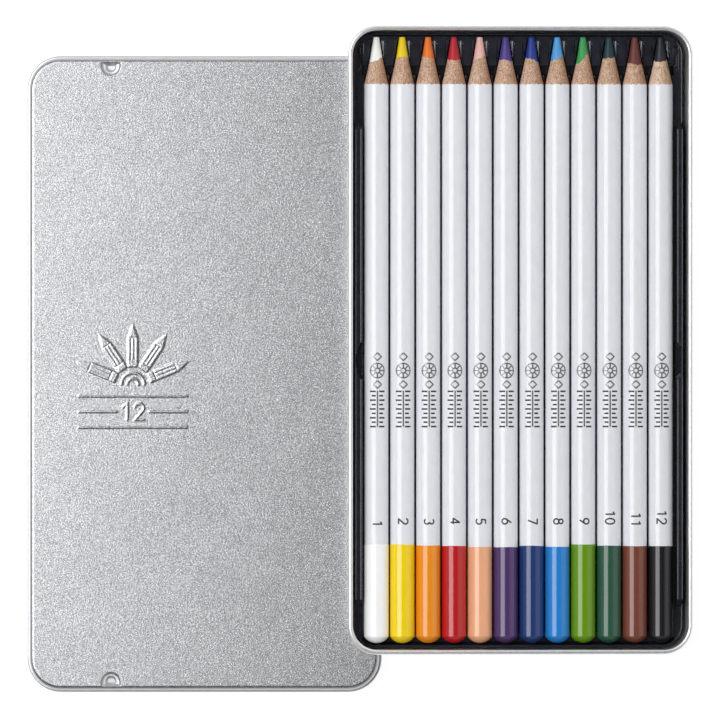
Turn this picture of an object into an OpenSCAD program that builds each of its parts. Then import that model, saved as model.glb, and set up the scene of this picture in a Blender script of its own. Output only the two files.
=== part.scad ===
// Coloured pencil tin laid open: twelve round pencils in a black formed insert,
// in a shallow drawn tray whose left edge leans on the loose lid beside it.
// +X runs across the pencils, +Y towards their points, +Z up from the table.
// The origin is on the table, under the middle of the whole layout.

/* [Pencils] */
// Length of a pencil from butt to point
pencil_l = 175; // [150:1:180]
// Diameter over the lacquer
pencil_d = 7.1; // [6.8:0.1:7.8]
// Diameter of the coloured core
core_d = 3.8; // [3:0.1:4.4]
// Thickness of the lacquer on the wood
lacquer_t = 0.15; // [0.1:0.01:0.25]
// Length of the sharpened end, from the lacquer to the point
cone_l = 13.6; // [11:0.1:18]
// Length of bare core in the sharpened end
lead_l = 6.2; // [4:0.1:8]
// Diameter of the blunt point
point_d = 1.9; // [0.8:0.1:2.4]
// Bevel round the blunt point
point_bevel = 0.2; // [0.05:0.05:0.35]
// Length of the dipped end
dip_l = 28.7; // [10:0.1:45]
// How far the dipped end stands proud of the lacquer
dip_proud = 0.05; // [0.02:0.01:0.1]
// Height of the dome on the butt
dome_rise = 1.95; // [0.8:0.05:2.6]
// Thickness of the dip over the butt
dip_end_t = 0.25; // [0.15:0.05:0.5]
// Width of the glue line between the two slats of the casing
glue_line = 0.04; // [0.02:0.01:0.08]

/* [Tray] */
// Thickness of the tray's tinplate
tray_t = 0.3; // [0.25:0.01:0.4]
// Height of the tray over its rolled rim
tray_h = 11; // [10:0.5:20]
// Diameter of the rolled rim
rim_d = 1.4; // [1.2:0.05:1.8]
// Where the roll of the rim ends, as an angle about its centre
rim_end = 250; // [235:1:280]
// Radius between the tray's floor and walls, outside
tray_foot_r = 2; // [1.2:0.1:3]
// Corner radius of the tray, over the rim
tray_corner_r = 8.5; // [7:0.1:12]
// From the outermost pencil's pitch line to the outside of the rim
side_room = 5; // [4.8:0.1:12]
// From a pencil's end to the outside of the rim
end_room = 3.25; // [3.2:0.05:12]

/* [Insert] */
// Thickness of the insert's sheet
insert_t = 0.4; // [0.3:0.01:0.5]
// Gap between the tray's wall and the insert
insert_gap = 0.9; // [0.3:0.05:1.1]
// Gap under the insert
seat_gap = 0.05; // [0.02:0.01:0.15]
// Radial clearance between a pencil and its groove
groove_gap = 0.15; // [0.1:0.01:0.2]
// Gap between the dipped ends of two neighbours
pencil_gap = 0.3; // [0.25:0.05:1.2]
// Height of the side rails over the tray's floor
rail_h = 6.3; // [5:0.1:8]
// Width of a side rail
rail_w = 1.6; // [1.4:0.05:1.8]
// Rounding along the top edges of a rail
rail_r = 0.5; // [0.2:0.05:0.65]
// From the points of the pencils to the front end of the rails
rail_front = 24.8; // [18:0.1:40]
// From the butts of the pencils to the rear end of the rails
rail_rear = 10.8; // [6:0.1:30]
// Length of the bevel at each end of a rail
rail_bevel = 2; // [0.5:0.1:4]
// Width of the finger trough along the pencils
trough_w = 9.8; // [6:0.1:16]
// From the middle of the pencils back to the middle of the trough
trough_back = 6; // [0:0.1:20]
// Width of the walls that stand between the points
block_w = 2.5; // [1.8:0.1:2.8]
// How far those walls stay below the pencils' axes
block_drop = 0.4; // [0.2:0.05:1]
// Width of the cross trench behind the points
trench_w = 2.6; // [1.5:0.1:5]
// Height of the lip round the insert's edge
lip_h = 0.4; // [0.2:0.05:1]

/* [Lid] */
// Thickness of the lid's tinplate
lid_t = 0.3; // [0.25:0.01:0.4]
// Height of the lid
lid_h = 8; // [6:0.25:10]
// Gap between the lid's skirt and the tray's rim when the tin is shut
fit_gap = 0.2; // [0.1:0.05:0.5]
// Width of the rolled hem
hem_w = 1; // [0.95:0.05:1.3]
// Height of the rolled hem
hem_h = 1.2; // [1:0.05:1.8]
// Rounding of the hem
hem_r = 0.35; // [0.32:0.01:0.4]
// Radius along the lid's top edge, outside
lid_edge_r = 1; // [0.7:0.05:2]
// From the lid's left edge to the middle of the two dimples
dimple_in = 23.9; // [12:0.1:45]
// Width of a dimple
dimple_w = 5.7; // [4.6:0.1:8]
// Width of the deeper cup in a dimple
cup_w = 2.9; // [2:0.1:3.2]
// Depth of a dimple
dimple_d = 0.5; // [0.35:0.05:0.8]
// Depth of the cup, from the lid's top
cup_d = 1.15; // [0.9:0.05:1.5]

/* [Layout] */
// From the lid's right edge to the line on which the tray stands
lean_out = 86; // [60:0.5:95]
// How far the tray lies forward of the lid
shift_y = 9.8; // [3:0.1:40]
// Gap where the tray leans on the lid
lean_gap = 0.05; // [0.02:0.01:0.2]

/* [Hidden] */
$fn = 64;
EPS = 0.01;
// Each pencil: name, colour of its core, colour of its dipped end
PENCILS = [
    ["white", [0.97, 0.97, 0.95], [0.96, 0.96, 0.96]],
    ["yellow", [0.97, 0.86, 0.06], [0.97, 0.85, 0.08]],
    ["orange", [0.94, 0.49, 0.18], [0.94, 0.59, 0.12]],
    ["red", [0.75, 0.16, 0.22], [0.75, 0.12, 0.14]],
    ["peach", [0.96, 0.76, 0.73], [0.95, 0.71, 0.55]],
    ["purple", [0.31, 0.25, 0.57], [0.31, 0.22, 0.43]],
    ["dark_blue", [0.14, 0.24, 0.59], [0.14, 0.24, 0.47]],
    ["light_blue", [0.35, 0.67, 0.92], [0.16, 0.53, 0.84]],
    ["light_green", [0.27, 0.67, 0.39], [0.41, 0.61, 0.02]],
    ["dark_green", [0.14, 0.24, 0.27], [0.18, 0.35, 0.27]],
    ["brown", [0.43, 0.24, 0.22], [0.49, 0.27, 0.22]],
    ["black", [0.16, 0.16, 0.19], [0.12, 0.12, 0.14]],
];
PIECES = ["casing", "core", "lacquer", "dip"];
TINPLATE = [0.78, 0.79, 0.8];
CEDAR = [0.8, 0.63, 0.49];
LACQUER = [0.93, 0.94, 0.95];
INSERT_BLACK = [0.08, 0.08, 0.09];
count = len(PENCILS);
pencil_r = pencil_d / 2;
core_r = core_d / 2;
wood_r = pencil_r - lacquer_t;
point_r = point_d / 2;
dip_r = pencil_r + dip_proud;
pitch = 2 * dip_r + pencil_gap;
point_y = pencil_l / 2;
butt_y = -pencil_l / 2;
// The sharpened end widens from the core's edge to the lacquer's edge
cone_slope = (cone_l - lead_l) / (pencil_r - core_r);
function back_from_point(r) = lead_l + (r - core_r) * cone_slope;

tray_w = count * pitch + 2 * side_room;
tray_l = pencil_l + 2 * end_room;
rim_r = rim_d / 2;
wall_in = rim_d - tray_t;
foot_x = tray_w / 2 - wall_in - tray_foot_r;
floor_in = wall_in + tray_foot_r;

// Levels of the insert, over the underside of the tray
insert_z = tray_t + seat_gap;
pad_z = insert_z + insert_t;
groove_r = dip_r + groove_gap;
groove_out_r = groove_r + insert_t;
foot_flat = 0.05;
axis_z = pad_z + groove_r - foot_flat;
crest_drop = 0.2;
apex_z = axis_z - sqrt(max(0, pow(groove_out_r, 2) - pow(pitch / 2, 2)));
ridge_z = apex_z - crest_drop + insert_t;
block_z = axis_z - block_drop;
rail_z = tray_t + rail_h;
insert_w = tray_w - 2 * (rim_d + insert_gap);
insert_l = tray_l - 2 * (rim_d + insert_gap);
insert_corner_r = tray_corner_r - rim_d - insert_gap;
insert_bevel = floor_in - rim_d - insert_gap + insert_t;
rail_x = insert_w / 2 - rail_w;
row_x = count * pitch / 2;
// Stations of the insert along the pencils
end_gap = 0.3;
groove_rear = butt_y - end_gap;
pocket_front = point_y + end_gap;
pocket_gap = 0.15;
pocket_w = pitch - block_w;
pocket_rear = point_y - back_from_point(pocket_w / 2 - pocket_gap);
groove_front = pocket_rear - trench_w;
pocket_z = axis_z - pocket_w / 2 - pocket_gap;
block_r = 0.7;
block_front = pocket_front - block_r;
end_block_w = 1.5;
end_block_x = row_x - block_w / 2 + end_block_w / 2;
rail_front_y = point_y - rail_front;
rail_rear_y = butt_y + rail_rear;
trough_front = -trough_back + trough_w / 2;
trough_rear = -trough_back - trough_w / 2;

lid_w = tray_w + 2 * (fit_gap + hem_w);
lid_l = tray_l + 2 * (fit_gap + hem_w);
lid_corner_r = tray_corner_r + fit_gap + hem_w;
skirt_in = hem_w - lid_t;
lid_flat_in = skirt_in + lid_edge_r;
hem_slit = 0.1;
dimple_margin = 0.1;
dimple_edge = lid_flat_in + dimple_margin;
dimple_l = 3.9;
cup_edge = 0.5;
cup_l = 2.5;
dimple_slope = 0.5;
cup_slope = 0.3;

// The tray stands on its right foot and leans on the lid's rounded edge
lean_x = lean_out + lid_flat_in;
lean_z = tray_foot_r + lid_edge_r - lid_h;
tilt = asin((tray_foot_r + lid_edge_r + lean_gap) / norm([lean_x, lean_z])) - atan2(lean_z, lean_x);
rim_dx = tray_w / 2 - rim_r - foot_x;
rim_dz = tray_h - rim_r - tray_foot_r;
reach_out = rim_dx * cos(tilt) + rim_dz * sin(tilt) + rim_r;
layout_w = lid_w + lean_out + reach_out;
layout_l = (lid_l + tray_l) / 2 + shift_y;
lid_x = (lid_w - layout_w) / 2;
lid_y = (lid_l - layout_l) / 2;
foot_world_x = lid_x + lid_w / 2 + lean_out;
tray_y = (layout_l - tray_l) / 2;

// Puts a tray piece, drawn level about the tray's middle, into the leaning tray
module in_tray() {
    translate([foot_world_x, tray_y, tray_foot_r])
        rotate([0, tilt, 0])
            translate([-foot_x, 0, -tray_foot_r])
                children();
}

// Puts a pencil piece, drawn upright about the pencil's middle, into groove i
module in_groove(i) {
    in_tray()
        translate([(i - (count - 1) / 2) * pitch, 0, axis_z])
            rotate([-90, 0, 0])
                children();
}

module rounded_square(w, l, r) {
    square([w - 2 * r, l], center = true);
    square([w, l - 2 * r], center = true);
    for (x = [-1, 1], y = [-1, 1])
        translate([x * (w / 2 - r), y * (l / 2 - r)])
            circle(r);
}

// Sweeps a wall section round a rounded rectangle. The section is drawn with x = 0
// on the outline and the inside of the rectangle at negative x, and its y is the height.
module sweep_round(w, l, r) {
    for (turn = [0, 180]) {
        rotate(turn)
            translate([w / 2, 0, 0])
                rotate([90, 0, 0])
                    linear_extrude(l - 2 * r, center = true)
                        children();
        rotate(turn + 90)
            translate([l / 2, 0, 0])
                rotate([90, 0, 0])
                    linear_extrude(w - 2 * r, center = true)
                        children();
    }
    for (x = [0, 1], y = [0, 1])
        mirror([x, 0, 0])
            mirror([0, y, 0])
                translate([w / 2 - r, l / 2 - r, 0])
                    rotate_extrude(angle = 90)
                        translate([r, 0])
                            children();
}

// A quarter bend of a sheet about the origin, on the side of positive x and negative y
module bend(r, t) {
    intersection() {
        difference() {
            circle(r);
            circle(r - t);
        }
        translate([0, -2 * r])
            square(2 * r);
    }
}

// The tray's wall in section: floor radius, wall, and the sheet rolled outward at the top
module tray_section() {
    difference() {
        translate([-rim_r, tray_h - rim_r])
            circle(rim_r);
        translate([-rim_r, tray_h - rim_r])
            circle(rim_r - tray_t);
        translate([-rim_r, tray_h - rim_r])
            polygon([
                [0, 0],
                [-rim_d, 0],
                [-rim_d, -rim_d],
                [rim_d * cos(rim_end), -rim_d],
                [rim_d * cos(rim_end), rim_d * sin(rim_end)],
            ]);
    }
    translate([-rim_d, tray_foot_r])
        square([tray_t, tray_h - rim_r - tray_foot_r]);
    translate([-floor_in, tray_foot_r])
        bend(tray_foot_r, tray_t);
}

module tray() {
    color(TINPLATE)
        in_tray() {
            sweep_round(tray_w, tray_l, tray_corner_r)
                tray_section();
            linear_extrude(tray_t)
                rounded_square(tray_w - 2 * floor_in, tray_l - 2 * floor_in, tray_corner_r - floor_in);
        }
}

// Where the trough cuts into the rails: a shallow arc on the left, cut corners on the right
module notches() {
    bow = rail_w - insert_t;
    arc_r = (pow(trough_w / 2, 2) + pow(bow, 2)) / (2 * bow);
    intersection() {
        translate([-rail_x - bow + arc_r, -trough_back])
            circle(arc_r);
        translate([-rail_x - rail_w, trough_rear])
            square([rail_w + EPS, trough_w]);
    }
    polygon([
        [rail_x - EPS, trough_rear],
        [rail_x, trough_rear],
        [rail_x + bow, trough_rear + bow],
        [rail_x + bow, trough_front - bow],
        [rail_x, trough_front],
        [rail_x - EPS, trough_front],
    ]);
}

// A side rail, bevelled at both ends, with round top edges. The hollow inside it is
// the same form, moved in by the sheet's thickness on every side.
module rail(x, w, top, inset) {
    rise = rail_z - ridge_z;
    shift = inset * norm([rail_bevel, rise]) / rise;
    front = rail_front_y - shift;
    rear = rail_rear_y + shift;
    intersection() {
        translate([x, rail_front_y - inset, 0])
            rotate([90, 0, 0])
                linear_extrude(rail_front_y - rail_rear_y - 2 * inset) {
                    translate([-w / 2, insert_z])
                        square([w, top - insert_z - (rail_r - inset)]);
                    translate([-w / 2 + rail_r - inset, insert_z])
                        square([w - 2 * (rail_r - inset), top - insert_z]);
                    for (side = [-1, 1])
                        translate([side * (w / 2 - rail_r + inset), top - rail_r + inset])
                            circle(rail_r - inset);
                }
        translate([x - w, 0, 0])
            rotate([90, 0, 90])
                linear_extrude(2 * w)
                    polygon([
                        [rear, 0],
                        [front, 0],
                        [front, ridge_z],
                        [front - rail_bevel, rail_z],
                        [rear + rail_bevel, rail_z],
                        [rear, ridge_z],
                    ]);
    }
}

// The walls that stand between the points, and one outside each end of the row
module blocks(shrink, bottom, top) {
    y0 = pocket_rear + shrink;
    y1 = block_front - shrink;
    for (i = [1 : count - 1])
        translate([(i - count / 2) * pitch, (y0 + y1) / 2, bottom])
            linear_extrude(top - bottom)
                rounded_square(block_w - 2 * shrink, y1 - y0, block_r - shrink);
    for (side = [-1, 1])
        translate([side * end_block_x, (y0 + y1) / 2, bottom])
            linear_extrude(top - bottom)
                rounded_square(end_block_w - 2 * shrink, y1 - y0, block_r - shrink);
}

module insert() {
    hollow_w = rail_w - 2 * insert_t;
    inner_w = insert_w - 2 * insert_t;
    inner_l = insert_l - 2 * insert_t;
    inner_r = insert_corner_r - insert_t;
    color(INSERT_BLACK)
        in_tray() {
            // The skirt turns in along the tray's floor radius
            sweep_round(insert_w, insert_l, insert_corner_r)
                polygon([
                    [-insert_bevel, insert_z],
                    [0, tray_foot_r],
                    [-insert_t, tray_foot_r],
                    [-insert_bevel - insert_t, insert_z],
                ]);
            difference() {
                union() {
                    translate([0, 0, insert_z])
                        linear_extrude(ridge_z - insert_z)
                            rounded_square(insert_w, insert_l, insert_corner_r);
                    // Lip round the edge
                    translate([0, 0, ridge_z - EPS])
                        linear_extrude(lip_h + EPS)
                            difference() {
                                rounded_square(insert_w, insert_l, insert_corner_r);
                                rounded_square(inner_w, inner_l, inner_r);
                            }
                    for (side = [-1, 1])
                        rail(side * (rail_x + rail_w / 2), rail_w, rail_z, 0);
                    blocks(0, insert_z, block_z);
                }
                // Grooves for the barrels
                for (i = [0 : count - 1])
                    translate([(i - (count - 1) / 2) * pitch, groove_rear, axis_z])
                        rotate([-90, 0, 0])
                            cylinder(h = groove_front - groove_rear + EPS, r = groove_r);
                // Nests for the points, with round ends
                for (i = [0 : count - 1])
                    translate([(i - (count - 1) / 2) * pitch, (pocket_front + pocket_rear) / 2, pocket_z])
                        linear_extrude(rail_z) {
                            rounded_square(pocket_w, pocket_front - pocket_rear, block_r);
                            translate([-pocket_w / 2, -(pocket_front - pocket_rear) / 2 - EPS])
                                square([pocket_w, block_r + EPS]);
                        }
                // Cross trench behind the points
                translate([-row_x, groove_front, pad_z])
                    cube([2 * row_x, trench_w, rail_z]);
                // Finger trough, and its notches in the rails
                translate([-rail_x, trough_rear, pad_z])
                    cube([2 * rail_x, trough_w, rail_z]);
                translate([0, 0, ridge_z])
                    linear_extrude(rail_z)
                        notches();
                // Bevel that clears the tray's floor radius
                sweep_round(insert_w, insert_l, insert_corner_r)
                    polygon([
                        [-insert_bevel, 0],
                        [-insert_bevel, insert_z],
                        [0, tray_foot_r],
                        [insert_gap, tray_foot_r],
                        [insert_gap, 0],
                    ]);
                // Hollow under the ridges, in front of the trough and behind it
                intersection() {
                    difference() {
                        union() {
                            translate([-insert_w / 2, -insert_l / 2, 0])
                                cube([insert_w, trough_rear - insert_t + insert_l / 2, ridge_z - insert_t]);
                            translate([-insert_w / 2, trough_front + insert_t, 0])
                                cube([
                                    insert_w,
                                    groove_front - trough_front - 2 * insert_t,
                                    ridge_z - insert_t,
                                ]);
                        }
                        for (i = [0 : count - 1])
                            translate([(i - (count - 1) / 2) * pitch, groove_rear - insert_t, axis_z])
                                rotate([-90, 0, 0])
                                    cylinder(h = insert_l, r = groove_out_r);
                    }
                    linear_extrude(rail_z)
                        rounded_square(inner_w, inner_l, inner_r);
                }
                // Hollow under the nests, and beside them
                intersection() {
                    union() {
                        translate([-insert_w / 2, pocket_rear + insert_t, 0])
                            cube([insert_w, insert_l, pocket_z - insert_t]);
                        for (side = [0, 1])
                            mirror([side, 0, 0])
                                translate([end_block_x + end_block_w / 2, pocket_rear + insert_t, 0])
                                    cube([insert_w, insert_l, ridge_z - insert_t]);
                    }
                    linear_extrude(rail_z)
                        rounded_square(inner_w, inner_l, inner_r);
                }
                blocks(insert_t, 0, block_z - insert_t);
                // Hollow rails
                for (side = [-1, 1])
                    difference() {
                        rail(side * (rail_x + rail_w / 2), hollow_w, rail_z - insert_t, insert_t);
                        translate([-insert_w, trough_rear - insert_t, 0])
                            cube([2 * insert_w, trough_w + 2 * insert_t, rail_z]);
                    }
            }
        }
}

// The lid's wall in section: hem rolled outward at the bottom, skirt, and rounded top edge
module lid_section() {
    difference() {
        translate([-hem_w / 2, hem_h / 2])
            rounded_square(hem_w, hem_h, hem_r);
        translate([-hem_w / 2, hem_h / 2])
            rounded_square(hem_w - 2 * lid_t, hem_h - 2 * lid_t, hem_r - lid_t);
        translate([-skirt_in, hem_h / 2])
            square([hem_slit, hem_h]);
    }
    translate([-hem_w, hem_h / 2])
        square([lid_t, lid_h - lid_edge_r - hem_h / 2]);
    translate([-lid_flat_in, lid_h - lid_edge_r])
        mirror([0, 1])
            bend(lid_edge_r, lid_t);
}

// A tongue-shaped dish with sloping sides: straight at y = 0, round at the far end
module tongue(w, l, depth, slope) {
    straight = l - w / 2;
    section = [[0, EPS], [w / 2, EPS], [w / 2 - slope, -depth], [0, -depth]];
    translate([0, straight, 0])
        rotate_extrude(angle = 180)
            polygon(section);
    translate([0, straight, 0])
        rotate([90, 0, 0])
            linear_extrude(straight) {
                polygon(section);
                mirror([1, 0])
                    polygon(section);
            }
}

// Puts a dimple by the front or rear edge, its straight side towards that edge
module at_dimples() {
    for (side = [0, 1])
        mirror([0, side, 0])
            translate([dimple_in - lid_w / 2, lid_l / 2 - dimple_edge, lid_h])
                rotate(180)
                    children();
}

module lid() {
    grow = 2 * lid_t;
    color(TINPLATE)
        translate([lid_x, lid_y, 0])
            difference() {
                union() {
                    sweep_round(lid_w, lid_l, lid_corner_r)
                        lid_section();
                    translate([0, 0, lid_h - lid_t])
                        linear_extrude(lid_t)
                            rounded_square(
                                lid_w - 2 * lid_flat_in, lid_l - 2 * lid_flat_in, lid_corner_r - lid_flat_in);
                    // The dimples swell out underneath by the sheet's thickness
                    at_dimples()
                        translate([0, -lid_t, -2 * EPS]) {
                            tongue(dimple_w + grow, dimple_l + grow, dimple_d + lid_t, dimple_slope);
                            translate([0, cup_edge, 0])
                                tongue(cup_w + grow, cup_l + grow, cup_d + lid_t, cup_slope);
                        }
                }
                at_dimples() {
                    tongue(dimple_w, dimple_l, dimple_d, dimple_slope);
                    translate([0, cup_edge, 0])
                        tongue(cup_w, cup_l, cup_d, cup_slope);
                }
            }
}

// Half section of a round bar along the y axis, with a dome at its lower end
module domed_bar(r, rise, bottom, top) {
    dome_r = (pow(r, 2) + pow(rise, 2)) / (2 * rise);
    intersection() {
        translate([0, bottom])
            square([r, top - bottom]);
        translate([0, bottom + dome_r]) {
            circle(dome_r);
            square([dome_r, top - bottom]);
        }
    }
}

// Half section of the wooden rod: a domed bar, cut to a cone with a blunt point
module rod_section() {
    intersection() {
        domed_bar(wood_r, dome_rise - dip_end_t / 2, butt_y + dip_end_t, point_y);
        polygon([
            [0, butt_y],
            [pencil_r, butt_y],
            [pencil_r, point_y - cone_l],
            [core_r, point_y - lead_l],
            [point_r, point_y - point_bevel],
            [point_r - point_bevel, point_y],
            [0, point_y],
        ]);
    }
}

// Two cedar slats with a glue line between them, bored for the core
module casing(i) {
    color(CEDAR)
        in_groove(i)
            difference() {
                rotate_extrude()
                    difference() {
                        rod_section();
                        translate([-EPS, -pencil_l])
                            square([core_r + EPS, 2 * pencil_l]);
                    }
                cube([2 * pencil_d, glue_line, 2 * pencil_l], center = true);
            }
}

module core(i) {
    color(PENCILS[i][1])
        in_groove(i)
            rotate_extrude()
                intersection() {
                    rod_section();
                    translate([0, -pencil_l])
                        square([core_r, 2 * pencil_l]);
                }
}

module lacquer(i) {
    color(LACQUER)
        in_groove(i)
            rotate_extrude()
                polygon([
                    [wood_r, butt_y + dip_l],
                    [pencil_r, butt_y + dip_l],
                    [pencil_r, point_y - cone_l],
                    [wood_r, point_y - back_from_point(wood_r)],
                ]);
}

// The dipped end: a thin coloured cup over the butt
module dip(i) {
    color(PENCILS[i][2])
        in_groove(i)
            rotate_extrude()
                difference() {
                    domed_bar(dip_r, dome_rise, butt_y, butt_y + dip_l);
                    rod_section();
                }
}

lid();
tray();
insert();
for (i = [0 : count - 1]) {
    casing(i);
    core(i);
    lacquer(i);
    dip(i);
}
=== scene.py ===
import math

import bmesh
import bpy
import numpy as np
from mathutils import Matrix, Vector


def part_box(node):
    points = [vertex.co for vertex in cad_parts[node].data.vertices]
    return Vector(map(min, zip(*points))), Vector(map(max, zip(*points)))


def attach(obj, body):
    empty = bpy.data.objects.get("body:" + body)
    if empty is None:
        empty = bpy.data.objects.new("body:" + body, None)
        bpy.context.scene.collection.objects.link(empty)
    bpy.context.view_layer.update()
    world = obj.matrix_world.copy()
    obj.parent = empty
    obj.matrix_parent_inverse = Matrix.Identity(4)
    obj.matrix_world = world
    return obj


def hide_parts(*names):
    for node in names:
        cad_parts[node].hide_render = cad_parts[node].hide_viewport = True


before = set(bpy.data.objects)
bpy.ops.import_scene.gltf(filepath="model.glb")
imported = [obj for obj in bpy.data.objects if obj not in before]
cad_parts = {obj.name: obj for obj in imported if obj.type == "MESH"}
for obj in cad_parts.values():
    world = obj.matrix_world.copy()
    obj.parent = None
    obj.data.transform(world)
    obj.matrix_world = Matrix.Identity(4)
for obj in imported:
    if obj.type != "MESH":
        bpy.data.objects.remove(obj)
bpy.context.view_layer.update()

# The table and the studio: a plain white table in a pale room that is brighter on its far
# right and dark overhead, one broad soft lamp high up to the left, and a camera that looks
# straight down from so far away that the sides of things hardly show. Lengths are in metres.
MM = 0.001
TABLE_DROP = 0.00001
TABLE_REACH = 6
LAMP_HEIGHT = 1.2
LAMP_LEFT, LAMP_RIGHT = -1.24, -0.13
LAMP_FRONT, LAMP_BACK = -0.28, 0.6
LAMP_LEVEL = 4.6
WALL_LEVELS = (0.25, 0.95)
BRIGHT_SIDE = (0.75, 0.65, 0)
CEILING_LEVEL = 0.1
CEILING_EDGE = (0.74, 0.86)
TABLE_DULL = (0.8, 0.8, 0.8, 1)
TABLE_FAINT = (0.28, 0.28, 0.28, 1)
TABLE_GLOW = 0.86
PHOTO_WIDTH = 0.2083
PHOTO_MIDDLE = (0.0, -0.00025)
LENS = 1000
SENSOR = 36
CAMERA_SIGHT = 20


def add(tree, kind, inputs=None, **settings):
    """Adds a shader node. A socket among the inputs is joined, and a plain value is set."""
    made = tree.nodes.new("ShaderNode" + kind)
    for key, value in settings.items():
        setattr(made, key, value)
    for key, value in (inputs or {}).items():
        if isinstance(value, bpy.types.NodeSocket):
            tree.links.new(value, made.inputs[key])
        else:
            made.inputs[key].default_value = value
    return made


def seen_rays(tree):
    """1 for rays from the camera, off gloss and through glass, and 0 for the rest."""
    path = add(tree, "LightPath")
    gloss, glass = path.outputs["Is Glossy Ray"], path.outputs["Is Transmission Ray"]
    either = add(tree, "Math", {0: gloss, 1: glass}, operation="MAXIMUM")
    seen = add(tree, "Math", {0: path.outputs["Is Camera Ray"], 1: either.outputs[0]},
               operation="MAXIMUM")
    return seen.outputs[0]


def table_top():
    """The table looks white, and lights the object only as a dull white surface does."""
    mesh = bpy.data.meshes.new("table")
    edge = TABLE_REACH
    corners = [(-edge, -edge), (edge, -edge), (edge, edge), (-edge, edge)]
    mesh.from_pydata([(x, y, -TABLE_DROP) for x, y in corners], [], [(0, 1, 2, 3)])
    finish = bpy.data.materials.new("white_table")
    finish.use_nodes = True
    tree = finish.node_tree
    tree.nodes.clear()
    seen = seen_rays(tree)
    dull = add(tree, "BsdfDiffuse", {"Color": TABLE_DULL})
    faint = add(tree, "BsdfDiffuse", {"Color": TABLE_FAINT})
    glow = add(tree, "Emission", {"Color": (1, 1, 1, 1), "Strength": TABLE_GLOW})
    white = add(tree, "AddShader", {0: faint.outputs[0], 1: glow.outputs[0]})
    mixed = add(tree, "MixShader", {0: seen, 1: dull.outputs[0], 2: white.outputs[0]})
    add(tree, "OutputMaterial", {"Surface": mixed.outputs[0]})
    mesh.materials.append(finish)
    table = bpy.data.objects.new("table", mesh)
    bpy.context.collection.objects.link(table)


def room():
    """The room's walls and ceiling, as levels of light for each direction."""
    world = bpy.data.worlds.new("studio")
    world.use_nodes = True
    tree = world.node_tree
    tree.nodes.clear()
    heading = add(tree, "TexCoord").outputs["Generated"]
    side = add(tree, "VectorMath", {0: heading, 1: BRIGHT_SIDE}, operation="DOT_PRODUCT")
    dark, bright = WALL_LEVELS
    below, above = CEILING_EDGE
    walls = add(tree, "MapRange", {"Value": side.outputs["Value"], "From Min": -1.0, "From Max": 1.0,
                                   "To Min": dark, "To Max": bright})
    height = add(tree, "SeparateXYZ", {0: heading})
    ceiling = add(tree, "MapRange", {"Value": height.outputs["Z"], "From Min": below, "From Max": above},
                  interpolation_type="SMOOTHSTEP")
    level = add(tree, "Mix", {"Factor": ceiling.outputs[0], "A": walls.outputs[0], "B": CEILING_LEVEL})
    light = add(tree, "Background", {"Color": (1, 1, 1, 1), "Strength": level.outputs[0]})
    add(tree, "OutputWorld", {"Surface": light.outputs[0]})
    bpy.context.scene.world = world


def soft_lamp():
    light = bpy.data.lights.new("soft_lamp", "AREA")
    light.shape = "RECTANGLE"
    light.size = LAMP_RIGHT - LAMP_LEFT
    light.size_y = LAMP_BACK - LAMP_FRONT
    light.energy = LAMP_LEVEL * math.pi * light.size * light.size_y
    lamp = bpy.data.objects.new("soft_lamp", light)
    lamp.location = ((LAMP_LEFT + LAMP_RIGHT) / 2, (LAMP_FRONT + LAMP_BACK) / 2, LAMP_HEIGHT)
    lamp.visible_camera = False
    bpy.context.collection.objects.link(lamp)


def camera_above():
    data = bpy.data.cameras.new("camera")
    data.lens = LENS
    data.sensor_width = SENSOR
    data.clip_end = CAMERA_SIGHT
    camera = bpy.data.objects.new("camera", data)
    camera.location = (*PHOTO_MIDDLE, PHOTO_WIDTH * LENS / SENSOR)
    bpy.context.collection.objects.link(camera)
    bpy.context.scene.camera = camera


table_top()
room()
soft_lamp()
camera_above()
bpy.context.scene.view_settings.view_transform = "Standard"

# The lid: one drawn sheet of tinplate with a fine matt grain, its edge turned down over a
# small radius into a skirt, a hem rolled outward round the bottom, a pressed dimple by
# the front and the rear edge, and a raised motif on its left half. Sizes are now in mm.
LID_WIDTH, LID_LENGTH, LID_HEIGHT = 102.4, 183.9, 8.0
LID_CORNER = 9.7
LID_SHEET = 0.3
LID_EDGE = 1.25
LID_COLOUR = (0.38, 0.385, 0.395)
HEM_WIDTH, HEM_HEIGHT, HEM_ROUND, HEM_SLIT = 1.0, 1.2, 0.35, 0.03
DIMPLE_FROM_LEFT, DIMPLE_EDGE = 24.2, 1.8
DIMPLE_X = DIMPLE_FROM_LEFT - LID_WIDTH / 2
DIMPLE = {"width": 5.7, "length": 4.0, "depth": 0.42, "slope": 0.6}
CUP = {"width": 3.3, "length": 2.5, "depth": 0.42, "slope": 0.6}
CUP_EDGE = 0.5
MOTIF_X, MOTIF_Y = -20.7, 0.0
MOTIF_HEIGHT = 0.13
MOTIF_SLOPE = 0.5
MOTIF_REACH, MOTIF_FINE, MOTIF_PITCH = 17.5, 16.6, 0.19
LINE_WIDTH = 0.55
CUT_WIDTH, CUT_DEPTH = 0.2, 0.8
FAN_LEANS = (-68, -34, 0, 34, 68)
FAN_Y, FAN_RADIUS = -3.0, 5.0
FAN_LENGTH, FAN_WIDTH = 12.4, 3.0
FAN_CONE, FAN_BUTT, FAN_FACET = 1.3, 1.9, 0.34
ARC_RADII = (3.3, 1.6)
RULE_TOP, RULE_MIDDLE, RULE_LOW = -6.4, -10.9, -15.4
RULE_HALF, RULE_GAP = 15.6, 4.8
FIGURE_X, FIGURE_Y, FIGURE_HEIGHT = -3.3, -13.4, 5.0
DIGIT_STEP = 0.74
# Below the lid's face: the height over which a painted sheen fades in, how much it lightens the metal, and
# how much rougher the metal is there.
SHEEN_FADE = 0.0003
SHEEN_LIFT = (1.4, 1.5)
SHEEN_DULLER = 0.16
SHARP_ANGLE = 32
CORNER_STEPS = 14


def smooth_step(value):
    """An eased step from 0 to 1 as the value goes from 0 to 1."""
    t = np.clip(value, 0, 1)
    return t * t * (3 - 2 * t)


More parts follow.
